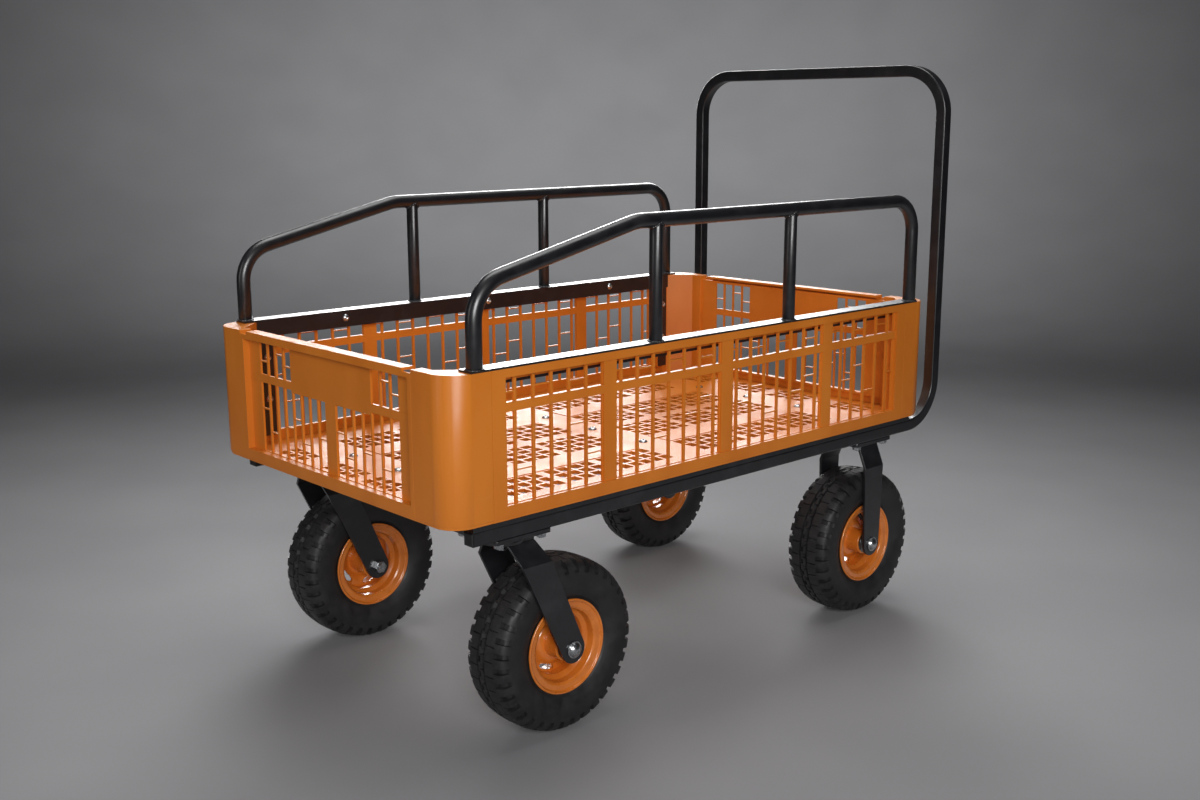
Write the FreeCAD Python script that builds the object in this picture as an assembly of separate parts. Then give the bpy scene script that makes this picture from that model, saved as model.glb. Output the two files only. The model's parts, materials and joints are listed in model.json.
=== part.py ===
import FreeCAD, Part
import math
import os

os.makedirs("parts", exist_ok=True)

V = FreeCAD.Vector

# Millimetres. +X is the leading end, +Y the cart's left side, +Z up, z = 0 is the floor.
crate_x = 28.75            # crate centre, so that the whole cart is centred on X = 0
half_l = 530.0             # crate, half length over the walls
half_w = 310.0             # crate, half width over the walls
crate_z = 350.5            # underside of the crate
crate_h = 206.5
rim_z = crate_z + crate_h
corner_r = 38.0
skin = 3.5                 # moulded wall thickness
side_end = 459.5           # |x| where a side wall meets a corner post
end_end = 228.0            # |y| where an end wall meets a corner post
side_depth = 25.0          # rim width on the long sides
end_depth = 20.0           # rim width on the short ends
foot_skin = 5.5            # wall thickness of the lower band
floor_t = 2.5              # floor plate
floor_rib = 3.0            # how far the lattice ribs reach below the plate
band_h = 1.0               # how far the load bands stand above the plate
lip_in, lip_h = 1.8, 4.5    # step round the foot of the crate

tube = 20.0                # square frame tube
tube_wall = 1.6
rail_y = 290.0
rail_z = 330.5
rail_front = 486.0
handle_x = -577.5
handle_z = 956.5
heel_r = 76.0
handle_r = 76.0
strap_x = (-400.0, 0.0, 400.0)
bolt_y = (-124.0, 0.0, 124.0)

guard_y = 301.0
guard_r = 11.0
guard_x = 480.0
guard_z = 735.0
knee_x = 189.5
post_x = 150.0
angle_t = 3.0
angle_in = half_w - side_depth - angle_t
leg_bolt_x = (-305.0, 0.0, 305.0)
hang_x = 455.0
hang_bolt_z = (429.0, 497.0)

wheel_r = 130.0
wheel_y = 250.5
swivel_x = 400.0
trail = 87.0
rigid_x = -398.0
plate_z = 314.5
plate_t = 6.0
plate_half = 50.0
plate_bolt = (37.5, 39.5)
swivel_crown = 308.0
bend_z = 272.0               # where a fork leg turns into its shoulder
leg_in = 46.0
leg_t = 5.0

lug_count = 36


def box(x0, y0, z0, x1, y1, z1):
    return Part.makeBox(x1 - x0, y1 - y0, z1 - z0, V(x0, y0, z0))


def rod(x, y, z, r, h, axis="z"):
    direction = {"x": V(1, 0, 0), "y": V(0, 1, 0), "z": V(0, 0, 1)}[axis]
    return Part.makeCylinder(r, h, V(x, y, z), direction)


def ring(x, y, z, r_out, r_in, h, axis="z"):
    return rod(x, y, z, r_out, h, axis).cut(rod(x, y, z, r_in, h, axis))


def prism(points, direction):
    wire = Part.makePolygon([V(*p) for p in points] + [V(*points[0])])
    return Part.Face(wire).extrude(V(*direction))


def spun(points, y_axis=True):
    """Turns a closed outline of (along, radius) points about the Y or the Z axis."""
    place = (lambda a, r: V(r, a, 0)) if y_axis else (lambda a, r: V(r, 0, a))
    wire = Part.makePolygon([place(a, r) for a, r in points + [points[0]]])
    axis = V(0, 1, 0) if y_axis else V(0, 0, 1)
    return Part.Face(wire).revolve(V(0, 0, 0), axis, 360)


def hexagon(x, y, z, flats, h, axis="z"):
    r = flats / math.sqrt(3)
    points = [(r * math.cos(k * math.pi / 3), r * math.sin(k * math.pi / 3)) for k in range(6)]
    if axis == "z":
        return prism([(x + a, y + b, z) for a, b in points], (0, 0, h))
    return prism([(x + a, y, z + b) for a, b in points], (0, h, 0))


def fused(shapes):
    whole = shapes[0].fuse(shapes[1:]) if len(shapes) > 1 else shapes[0]
    return whole.removeSplitter()


def minus(shape, cutters):
    return shape.cut(Part.makeCompound(cutters)) if cutters else shape


def mirrored(shape, across):
    return shape.mirror(V(0, 0, 0), V(1, 0, 0) if across == "x" else V(0, 1, 0))


def save(name, shape, x=crate_x, y=0.0):
    moved = shape.copy()
    moved.translate(V(x, y, 0))
    moved.exportStep("parts/" + name + ".step")


# Crate

def wall_outline(depth, rim, skirt):
    """Section of a moulded wall as (inward, up) points: lower band, recessed skin, upper band, rim."""
    low, high, back = 20.0, crate_h - 12.0, depth + skin
    top = crate_h - 4.0
    inner = [(rim, crate_h), (rim, top)]
    if skirt:
        inner = [(rim, crate_h), (rim, crate_h - skirt), (rim - skin, crate_h - skirt), (rim - skin, top)]
    return ([(lip_in, 0), (lip_in, lip_h), (0, lip_h), (0, low), (depth, low), (depth, high), (0, high), (0, crate_h)] + inner
            + [(skin, top), (skin, high + skin), (back, high + skin), (back, low - skin),
               (foot_skin, low - skin), (foot_skin, 0)])


def columns(start, end, count, slat):
    """Opening limits between two uprights, evenly shared with slats between them."""
    width = (end - start - slat * (count - 1)) / count
    return [(start + k * (width + slat), start + k * (width + slat) + width) for k in range(count)]


def grille(spans, rows, deep):
    """Cutters for each column of each row, leaving a thin tie across some columns like laid brick."""
    cutters = []
    for level, (low, high, ties) in enumerate(rows):
        for index, (a, b) in enumerate(spans[level]):
            tie = ties[index % len(ties)]
            edges = [low, high]
            if tie:
                z = low + tie * (high - low)
                edges = [low, z - 1.0, z + 1.0, high]
            for z0, z1 in zip(edges[::2], edges[1::2]):
                cutters.append(box(a, deep[0], z0, b, deep[1], z1))
    return cutters


def side_wall():
    """Long wall at y = +half_w, as seen from outside, with three uprights and a mid rail."""
    depth = 6.0
    outline = wall_outline(depth, side_depth, 20.0)
    wall = prism([(-side_end, half_w - s, crate_z + z) for s, z in outline], (2 * side_end, 0, 0))
    y0, y1 = half_w - depth - skin, half_w - 2.5
    z0, z1, zr, zt = crate_z + 20.0, rim_z - 12.0, 498.0, 511.0
    parts = [wall, box(-side_end, y0, zr, side_end, y1, zt)]
    for a, b in ((-258.0, -233.5), (-13.0, 13.0), (233.5, 258.0)):
        parts.append(box(a, y0, z0, b, y1, z1))
    for a, b in ((-side_end, -436.0), (436.0, side_end)):
        parts.append(box(a, y0, z0 - 1.0, b, half_w, z1 + 1.0))
    for x in (-hang_x, hang_x):
        a, b = max(x - 11.0, -side_end), min(x + 11.0, side_end)
        parts.append(box(a, half_w - side_depth, z0 - skin, b, y0, rim_z - 20.0))
    spans = []
    for sign in (-1, 1):
        cols = columns(258.5, 413.5, 5, 4.5) + [(418.0, 433.0)]
        cols += [(14.0, 24.0)] + columns(28.5, 218.5, 6, 4.5) + [(223.0, 233.0)]
        spans += [(min(sign * a, sign * b), max(sign * a, sign * b)) for a, b in cols]
    spans.sort()
    rows = [(z0 + 1.0, zr, (0.55, 0.0, 0.35, 0.72)), (zt, z1 - 1.0, (0.0, 0.5, 0.0, 0.4))]
    wall = minus(fused(parts), grille([spans, spans], rows, (y0 - 1.0, half_w + 1.0)))
    holes = [rod(x, half_w - side_depth - 1, 547.5, 3.3, 6.0, "y") for x in leg_bolt_x]
    for x in (-hang_x, hang_x):
        holes += [rod(x, half_w - side_depth - 1, z, 3.05, 15.5, "y") for z in hang_bolt_z]
    return minus(wall, holes)


def end_wall():
    """Short wall at x = +half_l: an even lattice with a blank panel over an upright, a little off centre."""
    depth, pitch, gap = 11.0, 23.5, 20.0
    outline = wall_outline(depth, end_depth, 0.0)
    wall = prism([(half_l - s, -end_end, crate_z + z) for s, z in outline], (0, 2 * end_end, 0))
    x0, x1 = half_l - depth - skin, half_l - depth + 0.5
    z0, z1, zr, zt = crate_z + 20.0, rim_z - 12.0, 480.0, 492.5
    parts = [wall, box(x0, -end_end, zr, x1, end_end, zt),
             box(x0, -98.0, 476.0, x1, 117.0, z1), box(x0, -4.0, z0, x1, 23.0, 480.0)]
    for sign in (-1, 1):
        a, b = sorted((sign * (end_end - 8.0), sign * end_end))
        parts.append(box(x0, a, z0 - 1.0, half_l, b, z1 + 1.0))
    slots = [(184.0 - pitch * k - gap, 184.0 - pitch * k, k) for k in range(16) if k != 7]
    rows = [([(a, b) for a, b, k in slots], z0 + 1.0, (0.62, 0.3, 0.0, 0.45)),
            ([(a, b) for a, b, k in slots if k < 3 or k > 11], zt, (0.4, 0.0, 0.7))]
    cutters = []
    for spans, low, ties in rows:
        for index, (a, b) in enumerate(sorted(spans)):
            top = z1 - 1.0 if low == zt else (476.0 if -98.0 < a < 117.0 else zr)
            tie = ties[index % len(ties)]
            z = low + tie * (top - low)
            edges = [low, z - 1.0, z + 1.0, top] if tie else [low, top]
            cutters += [box(x0 - 1.0, a, p, x1 + 1.0, b, q) for p, q in zip(edges[::2], edges[1::2])]
    for sign in (-1, 1):
        a, b = sorted((sign * (end_end - 19.0), sign * end_end))
        cutters.append(box(half_l - end_depth - 1, a, rim_z - 5.0, half_l + 1, b, rim_z + 1))
    return minus(fused(parts), cutters)


def corner_wire(o, z, outer=None):
    """Corner post section drawn in by o (the rounded outside by outer), with a diagonal facet inside."""
    out = o if outer is None else outer
    xo, yo, r = half_l - out, half_w - out, corner_r - out
    xi, yi = half_l - end_depth + o, half_w - side_depth + o
    ax, ay = half_l - 60.0, half_w - side_depth
    bx, by = half_l - end_depth, half_w - 60.0
    nx, ny = ay - by, bx - ax
    size = math.hypot(nx, ny)
    nx, ny = nx / size, ny / size
    reach = nx * ax + ny * ay + o
    facet = [V((reach - ny * yi) / nx, yi, z), V(xi, (reach - nx * xi) / ny, z)]
    mid = V(xo - r + r * math.sqrt(0.5), yo - r + r * math.sqrt(0.5), z)
    a, b = V(xo, yo - r, z), V(xo - r, yo, z)
    chain = [b, V(side_end + o, yo, z), V(side_end + o, yi, z)] + facet
    chain += [V(xi, end_end + o, z), V(xo, end_end + o, z), a]
    edges = [Part.Arc(a, mid, b).toShape()]
    edges += [Part.LineSegment(p, q).toShape() for p, q in zip(chain, chain[1:])]
    return Part.Wire(edges)


def corner_post():
    """Hollow moulded post, open below, closed by its rim on top."""
    foot = Part.Face(corner_wire(0.0, crate_z, lip_in)).extrude(V(0, 0, lip_h))
    upper = Part.Face(corner_wire(0.0, crate_z + lip_h)).extrude(V(0, 0, crate_h - lip_h))
    low = Part.Face(corner_wire(foot_skin, crate_z - 1)).extrude(V(0, 0, 21.0))
    hollow = Part.Face(corner_wire(skin, crate_z + 15.0)).extrude(V(0, 0, crate_h - 19.0))
    return fused([foot, upper]).cut(fused([low, hollow]))


def bolt_places():
    return [(x, y) for x in strap_x for y in bolt_y]


def floor_outline(z):
    side, end = half_w - foot_skin - 0.3, half_l - foot_skin - 0.3
    x1, y1 = side_end - 0.2, end_end - 0.2
    xi, yi = half_l - end_depth - 0.3, half_w - side_depth - 0.3
    quarter = [(end, y1), (xi, y1), (xi, half_w - 60.5), (half_l - 60.5, yi), (x1, yi), (x1, side)]
    loop = quarter + [(-x, y) for x, y in reversed(quarter)]
    loop += [(-x, -y) for x, y in quarter] + [(x, -y) for x, y in reversed(quarter)]
    return [(x, y, z) for x, y in loop]


def lattice_zones():
    """Pierced zones as (x0, x1, columns, y0, y1, rows), between the plain strips and bands."""
    zones = []
    for x0, x1, cols in ((33.0, 142.0, 5), (152.0, 248.0, 4), (258.0, 367.0, 5), (437.0, 497.0, 3)):
        for y0, y1, rows in ((10.0, 98.0, 4), (154.0, 232.0, 3)):
            for sx in (-1, 1):
                for sy in (-1, 1):
                    a, b = sorted((sx * x0, sx * x1))
                    c, d = sorted((sy * y0, sy * y1))
                    zones.append((a, b, cols, c, d, rows))
    return zones


def rectangle(x0, y0, x1, y1, z):
    corners = [(x0, y0), (x1, y0), (x1, y1), (x0, y1), (x0, y0)]
    return Part.makePolygon([V(x, y, z) for x, y in corners])


def lattice_holes(zone, z):
    x0, x1, cols, y0, y1, rows = zone
    px, py = (x1 - x0) / cols, (y1 - y0) / rows
    wires = []
    for i in range(cols):
        for j in range(rows):
            x, y = x0 + i * px, y0 + j * py
            wires.append(rectangle(x + 2.5, y + 2.5, x + px - 2.5, y + py - 2.5, z))
    return wires


def pierced(outline, holes, h):
    return Part.makeFace([outline] + holes, "Part::FaceMakerBullseye").extrude(V(0, 0, h))


def crate_floor():
    """Moulded floor plate: plain cross strips and load bands, with square lattice between them."""
    z0 = crate_z
    zones = lattice_zones()
    holes = [wire for zone in zones for wire in lattice_holes(zone, z0)]
    for x, y in bolt_places():
        holes.append(Part.Wire(Part.Circle(V(x, y, z0), V(0, 0, 1), 4.3).toShape()))
    outline = floor_outline(z0)
    parts = [pierced(Part.makePolygon([V(*p) for p in outline + outline[:1]]), holes, floor_t)]
    low = z0 - floor_rib
    for zone in zones:
        outer = rectangle(zone[0] - 1.0, zone[3] - 1.0, zone[1] + 1.0, zone[4] + 1.0, low)
        parts.append(pierced(outer, lattice_holes(zone, low), floor_rib))
    for x0, x1 in ((-365.0, -35.0), (35.0, 365.0)):
        for y in (-126.0, 126.0):
            parts.append(box(x0, y - 26.0, z0 + floor_t, x1, y + 26.0, z0 + floor_t + band_h))
    return fused(parts)


# Frame

def square_section(size, r, z_dir, y_dir, at):
    """Closed wire of a rounded square in the plane of two unit vectors."""
    h = size / 2
    s = math.sqrt(0.5)
    edges = []
    corners = [(1, 1), (-1, 1), (-1, -1), (1, -1)]
    pts = []
    for sx, sy in corners:
        cx, cy = sx * (h - r), sy * (h - r)
        first, last = (cx + sx * r, cy), (cx, cy + sy * r)
        if sx * sy < 0:
            first, last = last, first
        pts.append((first, (cx + sx * r * s, cy + sy * r * s), last))
    world = lambda p: at + z_dir * p[0] + y_dir * p[1]
    for k in range(4):
        a, m, b = pts[k]
        edges.append(Part.Arc(world(a), world(m), world(b)).toShape())
        edges.append(Part.LineSegment(world(b), world(pts[(k + 1) % 4][0])).toShape())
    return Part.Wire(edges)


def bent(points, radii, section):
    """Carries a section along a bent centre line; section(u, v, at) returns its face."""
    points = [V(*p) for p in points]
    u, v = V(0, 0, 1), V(0, 1, 0)
    at = points[0]
    pieces = []
    for k in range(1, len(points)):
        d = (points[k] - points[k - 1]).normalize()
        if k == 1:
            u = d.cross(v).normalize()
        reach = 0.0
        if k < len(points) - 1:
            nxt = (points[k + 1] - points[k]).normalize()
            turn = d.getAngle(nxt)
            reach = radii[k - 1] * math.tan(turn / 2)
        stop = points[k] - d * reach
        pieces.append(section(u, v, at).extrude(stop - at))
        at = stop
        if k < len(points) - 1:
            axis = d.cross(nxt).normalize()
            centre = stop + axis.cross(d).normalize() * radii[k - 1]
            degrees = math.degrees(turn)
            pieces.append(section(u, v, at).revolve(centre, axis, degrees))
            spin = FreeCAD.Rotation(axis, degrees)
            u, v = spin.multVec(u), spin.multVec(v)
            at = points[k] + nxt * reach
    return fused(pieces)


def square(size, r):
    return lambda u, v, at: Part.Face(square_section(size, r, u, v, at))


def round_bar(r):
    return lambda u, v, at: Part.Face(Part.Wire(Part.Circle(at, u.cross(v), r).toShape()))


def frame_tube():
    """One bent tube: left rail, left leg, handle bar, right leg, right rail."""
    path = [(rail_front, rail_y, rail_z), (handle_x, rail_y, rail_z), (handle_x, rail_y, handle_z),
            (handle_x, -rail_y, handle_z), (handle_x, -rail_y, rail_z), (rail_front, -rail_y, rail_z)]
    radii = [heel_r, handle_r, handle_r, heel_r]
    body = bent(path, radii, square(tube, 2.5)).cut(bent(path, radii, square(tube - 2 * tube_wall, 1.0)))
    z = rail_z - tube
    holes = [rod(x, y, z, 4.4, 2 * tube) for x, y in plate_holes() if abs(y) > 250]
    return minus(body, holes)


def plate_holes():
    places = []
    for cx in (swivel_x, rigid_x + 1.0):
        for side in (-1, 1):
            for sx in (-1, 1):
                for sy in (-1, 1):
                    y = side * wheel_y + sy * plate_bolt[1]
                    places.append((cx + sx * plate_bolt[0], y))
    return places


def cross_tubes():
    """Four box tubes welded between the rails, over the caster bolts."""
    solids = []
    for x in sorted({round(p[0], 3) for p in plate_holes()}):
        half = rail_y - tube / 2
        outer = box(x - 10, -half, rail_z - 10, x + 10, half, rail_z + 10)
        inner = box(x - 8.4, -half, rail_z - 8.4, x + 8.4, half, rail_z + 8.4)
        inboard = [y for px, y in plate_holes() if abs(px - x) < 1 and abs(y) < 250]
        holes = [rod(x, y, rail_z - 15, 4.4, 30) for y in inboard]
        solids.append(minus(outer.cut(inner), holes))
    return Part.makeCompound(solids)


def deck_straps():
    """Flat bars across the rails; the crate is bolted down to them."""
    solids = []
    for x in strap_x:
        bar = box(x - 20, -rail_y - 7, rail_z + 10, x + 20, rail_y + 7, crate_z)
        solids.append(minus(bar, [rod(x, y, rail_z, 4.4, 40) for y in bolt_y]))
    return Part.makeCompound(solids)


def rail_skirts():
    """Thin strips standing on the outer edge of each rail, closing the gap under the crate."""
    low, high, x0 = rail_z + 10, crate_z, handle_x + heel_r + 3.0
    return Part.makeCompound([box(x0, 297.5, low, rail_front, 300.0, high),
                              box(x0, -300.0, low, rail_front, -297.5, high)])


def rail_plugs():
    solids = []
    for y in (-rail_y, rail_y):
        cap = box(rail_front, y - 9.5, rail_z - 9.5, rail_front + 3, y + 9.5, rail_z + 9.5)
        stem = box(rail_front - 12, y - 7.6, rail_z - 7.6, rail_front, y + 7.6, rail_z + 7.6)
        rim = [e for e in cap.Edges if e.BoundBox.XMin > rail_front + 2.9]
        solids.append(fused([cap.makeChamfer(1.5, rim), stem]))
    return Part.makeCompound(solids)


# Side guards

def guard_rail():
    slope = 0.2345
    front = guard_z - slope * (guard_x - knee_x)
    foot = rim_z + angle_t
    path = [(guard_x, guard_y, foot), (guard_x, guard_y, front), (knee_x, guard_y, guard_z),
            (-guard_x, guard_y, guard_z), (-guard_x, guard_y, foot)]
    radii = [58.0, 90.0, 53.0]
    return bent(path, radii, round_bar(guard_r)).cut(bent(path, radii, round_bar(guard_r - 1.5)))


def guard_posts():
    bar = rod(-400, guard_y, guard_z, guard_r + 0.02, 600, "x")
    solids = []
    for x in (-post_x, post_x):
        foot = rim_z + angle_t
        solids.append(ring(x, guard_y, foot, 10.0, 8.5, guard_z - foot).cut(bar))
    return Part.makeCompound(solids)


def guard_angle():
    """Angle iron: one leg flat on the rim under the guard, the other hanging inside the crate."""
    flat = box(-guard_x - 12, angle_in, rim_z, guard_x + 12, half_w + 0.5, rim_z + angle_t)
    hang = box(-470, angle_in, rim_z - 25, 470, angle_in + angle_t, rim_z)
    holes = [rod(x, angle_in - 1, 547.5, 3.3, 6, "y") for x in leg_bolt_x]
    return minus(fused([flat, hang]), holes)


def hang_straps():
    """Flat straps inside the long walls, tied to the wall by two bolts each."""
    solids = []
    for x in (-hang_x, hang_x):
        bar = box(x - 10.5, angle_in, crate_z + 18.0, x + 10.5, angle_in + angle_t, rim_z - 25)
        solids.append(minus(bar, [rod(x, angle_in - 1, z, 3.3, 6, "y") for z in hang_bolt_z]))
    return Part.makeCompound(solids)


def dome(r, h):
    """Low dome of base radius r and height h, standing on z = 0."""
    big = (r * r + h * h) / (2 * h)
    ball = Part.makeSphere(big, V(0, 0, h - big))
    return ball.common(Part.makeCylinder(r + 1, h + 1))


def button_bolt(r, head_r, head_h, length):
    """Button head on z = 0 pointing up, shank pointing down."""
    socket = hexagon(0, 0, head_h - 2.4, r * 1.25, 3.0)
    return fused([dome(head_r, head_h), rod(0, 0, -length, r, length)]).cut(socket)


def turned(shape, axis, degrees, at):
    moved = shape.copy()
    moved.rotate(V(0, 0, 0), V(*axis), degrees)
    moved.translate(V(*at))
    return moved


def guard_bolt_places():
    places = [(x, 547.5, 12.0) for x in leg_bolt_x]
    return places + [(x, z, 17.0) for x in (-hang_x, hang_x) for z in hang_bolt_z]


def guard_bolts():
    """Zinc button-head bolts, heads inside the crate, for both long sides."""
    solids = []
    for x, z, length in guard_bolt_places():
        bolt = button_bolt(3.0, 6.5, 4.0, length)
        solids.append(turned(bolt, (1, 0, 0), 90, (x, angle_in, z)))
        solids.append(turned(bolt, (1, 0, 0), -90, (x, -angle_in, z)))
    return Part.makeCompound(solids)


def guard_nuts():
    """Nuts of the angle iron bolts; the strap bolts are driven into moulded bosses."""
    y = half_w - side_depth + skin
    solids = []
    for x in leg_bolt_x:
        nut = hexagon(x, y, 547.5, 10.0, 4.5, "y").cut(rod(x, y - 1, 547.5, 3.05, 8, "y"))
        solids += [nut, mirrored(nut, "y")]
    return Part.makeCompound(solids)


def floor_bolts():
    solids = []
    for x, y in bolt_places():
        bolt = button_bolt(4.0, 7.6, 4.4, 21.0)
        bolt.translate(V(x, y, crate_z + floor_t))
        solids.append(bolt)
    return Part.makeCompound(solids)


def floor_nuts():
    z = rail_z + 10 - 6.5
    solids = [hexagon(x, y, z, 13.0, 6.5).cut(rod(x, y, z - 1, 4.05, 9)) for x, y in bolt_places()]
    return Part.makeCompound(solids)


# Casters

def caster_bolts():
    solids = []
    z = rail_z + 10
    for x, y in plate_holes():
        solids.append(fused([hexagon(x, y, z, 13.0, 5.3), rod(x, y, plate_z - 8, 4.0, z - plate_z + 8)]))
    return Part.makeCompound(solids)


def caster_nuts():
    z = plate_z - 6.5
    solids = [hexagon(x, y, z, 13.0, 6.5).cut(rod(x, y, z - 1, 4.05, 9)) for x, y in plate_holes()]
    return Part.makeCompound(solids)


def top_plate():
    """Mounting plate, local to the caster, with four bolt holes."""
    plate = box(-plate_half, -49.5, plate_z, plate_half, 49.5, plate_z + plate_t)
    upright = [e for e in plate.Edges if abs(e.BoundBox.ZLength - plate_t) < 0.01]
    plate = plate.makeFillet(6.0, upright)
    bx, by = plate_bolt
    corners = [(bx, by), (-bx, by), (-bx, -by), (bx, -by)]
    return minus(plate, [rod(x, y, plate_z - 1, 4.4, 8) for x, y in corners])


def swivel_plate():
    """Swivel caster plate with its pressed upper ball race."""
    top = plate_z
    race = spun([(top, 12.0), (top, 31.0), (top - 2.0, 32.6), (top - 5.0, 32.6), (top - 5.0, 31.0),
                 (top - 3.2, 30.4), (top - 1.6, 29.4), (top - 1.6, 12.0)], False)
    body = fused([top_plate(), race])
    return minus(body, [rod(0, 0, plate_z - 20, 7.1, 40)])


def balls():
    r = 1.85
    z = (plate_z - 1.6 + swivel_crown + 1.0) / 2
    return Part.makeCompound([Part.makeSphere(r, V(24 * math.cos(a), 24 * math.sin(a), z))
                              for a in (k * math.pi / 12 for k in range(24))])


def kingpin():
    top = plate_z + plate_t
    pin = fused([hexagon(0, 0, top, 20.0, 8.0), rod(0, 0, swivel_crown - 20, 7.0, top - swivel_crown + 20)])
    nut = hexagon(0, 0, swivel_crown - 17.4, 20.0, 10.0).cut(rod(0, 0, swivel_crown - 18, 7.05, 12))
    return Part.makeCompound([pin, nut])


def hexahedron(low, high):
    """Solid between two flat quads given in the same order."""
    loops = [low, high[::-1]]
    loops += [[low[k], high[k], high[(k + 1) % 4], low[(k + 1) % 4]] for k in range(4)]
    faces = [Part.Face(Part.makePolygon([V(*p) for p in loop + [loop[0]]])) for loop in loops]
    return Part.makeSolid(Part.makeShell(faces))


def fork_side(side, rake, crown):
    """Shoulder bent out from the crown and a leg down to the axle; rake is the axle offset in X."""
    x0, x1, x2, x3 = (-35.5, 11.7, -49.0, 4.0) if rake else (-26.0, 26.0, -26.0, 26.0)
    near = 22.0 if rake else 31.0
    ya, yb = side * near, side * (near + leg_t)
    yc, yd = side * leg_in, side * (leg_in + leg_t)
    z1, z0 = crown - 6.0, bend_z
    shoulder = hexahedron([(x2, yc, z0), (x3, yc, z0), (x3, yd, z0), (x2, yd, z0)],
                          [(x0, ya, z1), (x1, ya, z1), (x1, yb, z1), (x0, yb, z1)])
    ax, az, r = rake, wheel_r, 21.0
    mx = (x2 + x3) / 2
    long = math.hypot(mx - ax, z0 - az)
    px, pz = (z0 - az) / long * r, -(mx - ax) / long * r
    y = min(yc, yd)
    leg = prism([(x2, y, z0), (x3, y, z0), (ax + px, y, az + pz), (ax - px, y, az - pz)], (0, leg_t, 0))
    tip = rod(ax, y, az, r, leg_t, "y")
    top = box(x0, min(ya, yb), z1, x1, max(ya, yb), crown)
    return [shoulder, leg, tip, top]


def fork(rake, crown):
    x0, x1 = (-35.5, 11.7) if rake else (-26.0, 26.0)
    near = 22.0 if rake else 31.0
    parts = [box(x0, -near, crown - 6.0, x1, near, crown), rod(0, 0, crown - 6.0, 33.0, 6.0)]
    parts += fork_side(1, rake, crown) + fork_side(-1, rake, crown)
    body = fused(parts)
    bores = [rod(rake, -60, wheel_r, 6.3, 120, "y")]
    if rake:
        bores.append(rod(0, 0, crown - 20, 7.05, 40))
    return minus(body, bores)


def swivel_fork():
    low = swivel_crown
    race = spun([(low, 15.0), (low, 29.0), (low + 1.0, 29.0), (low + 1.0, 15.0)], False)
    return fused([fork(-trail, low), race])


def rigid_fork():
    return fork(0.0, plate_z)


# Wheels

def tyre():
    """Hollow casing with two grooves round the tread, shoulder lugs and sipes, about the Y axis."""
    outside = [(0.0, 130.0), (24.0, 128.6), (38.5, 123.0), (42.0, 112.0), (43.0, 100.0), (41.0, 88.0),
               (36.0, 76.0), (32.6, 71.5), (30.6, 66.0), (30.0, 59.8), (23.0, 58.6)]
    inside = [(25.0, 66.0), (31.0, 76.0), (36.0, 90.0), (36.8, 100.0), (34.0, 110.0), (24.0, 117.0),
              (0.0, 118.5)]
    half = outside + inside
    body = spun(half + [(-s, r) for s, r in half[-2:0:-1]])
    cutters = []
    for s in (-13.0, 13.0):
        cutters.append(spun([(s - 2.0, 123.5), (s + 2.0, 123.5), (s + 2.6, 132.0), (s - 2.6, 132.0)]))
    step = 360.0 / lug_count
    for k in range(lug_count):
        slots = [box(122.5, 19.0, -4.0, 135, 46.0, 4.0), box(122.5, -46.0, -4.0, 135, -19.0, 4.0)]
        sipe = box(124.5, -11.0, -1.6, 135, 11.0, 1.6)
        sipe.rotate(V(0, 0, 0), V(0, 1, 0), step / 2)
        for cut in slots + [sipe]:
            cut.rotate(V(0, 0, 0), V(0, 1, 0), step * k)
            cutters.append(cut)
    return minus(body, cutters)


def rim():
    """Welded wheel centre: rolled lips, bead seats, drop well, pierced web and hub tube."""
    half = [(0.0, 50.0), (14.0, 50.0), (19.0, 56.5), (29.5, 58.0), (31.0, 60.5), (31.3, 66.5), (33.2, 69.6),
            (35.6, 71.0), (37.2, 70.4), (37.6, 68.8), (36.4, 67.4), (35.2, 67.6), (33.9, 65.6), (33.6, 58.6),
            (31.4, 55.4), (20.6, 54.0), (15.4, 47.4), (0.0, 47.4)]
    outline = half + [(-s, r) for s, r in reversed(half[1:-1])]
    barrel = spun(outline)
    web = spun([(-1.6, 47.5), (1.6, 47.5), (1.6, 38.0), (7.0, 27.0), (7.0, 19.0), (3.6, 19.0), (3.6, 26.2),
                (-1.6, 37.2)])
    windows = []
    for k in range(5):
        slot = Part.makeCylinder(44.5, 30, V(0, -15, 0), V(0, 1, 0), 44).cut(rod(0, -16, 0, 33.5, 32, "y"))
        slot.rotate(V(0, 0, 0), V(0, 1, 0), k * 72)
        windows.append(slot)
    hub = ring(0, -36.0, 0, 21.0, 14.0, 72.0, "y")
    bores = [rod(0, s, 0, 17.5, 12.0, "y") for s in (-36.0, 24.0)]
    bores.append(valve_turned(rod(0, -8.0, 0, 4.0, 16.0, "y")))
    return minus(fused([barrel, minus(web, windows), hub]), bores)


def bearings():
    """Two sealed bearings, each with a sunk shield on its outer face."""
    outer = ring(0, 24.8, 0, 17.45, 8.05, 11.0, "y").cut(ring(0, 35.0, 0, 14.6, 11.4, 1.0, "y"))
    return Part.makeCompound([outer, mirrored(outer, "y")])


def axle():
    """Axle bolt with a flanged dome head outboard, sleeve between the fork legs and a nut inboard."""
    outer = leg_in + leg_t
    sleeve = ring(0, -leg_in, 0, 8.0, 6.1, 2 * leg_in, "y")
    head = turned(dome(11.0, 6.5), (1, 0, 0), -90, (0, outer + 2.5, 0))
    shank = rod(0, -outer - 12, 0, 6.0, 2 * outer + 12, "y")
    bolt = fused([rod(0, outer, 0, 12.5, 2.5, "y"), head, shank])
    nut = hexagon(0, -outer - 9, 0, 18.0, 9.0, "y").cut(rod(0, -outer - 10, 0, 6.05, 12, "y"))
    return Part.makeCompound([bolt, sleeve, nut])


def valve_turned(shape):
    """Places a shape drawn along +Y on the sloping side of the drop well, square to it."""
    moved = shape.copy()
    moved.rotate(V(0, 0, 0), V(1, 0, 0), -38.2)
    moved.translate(V(0, 17.5, 51.6))
    return moved


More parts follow.
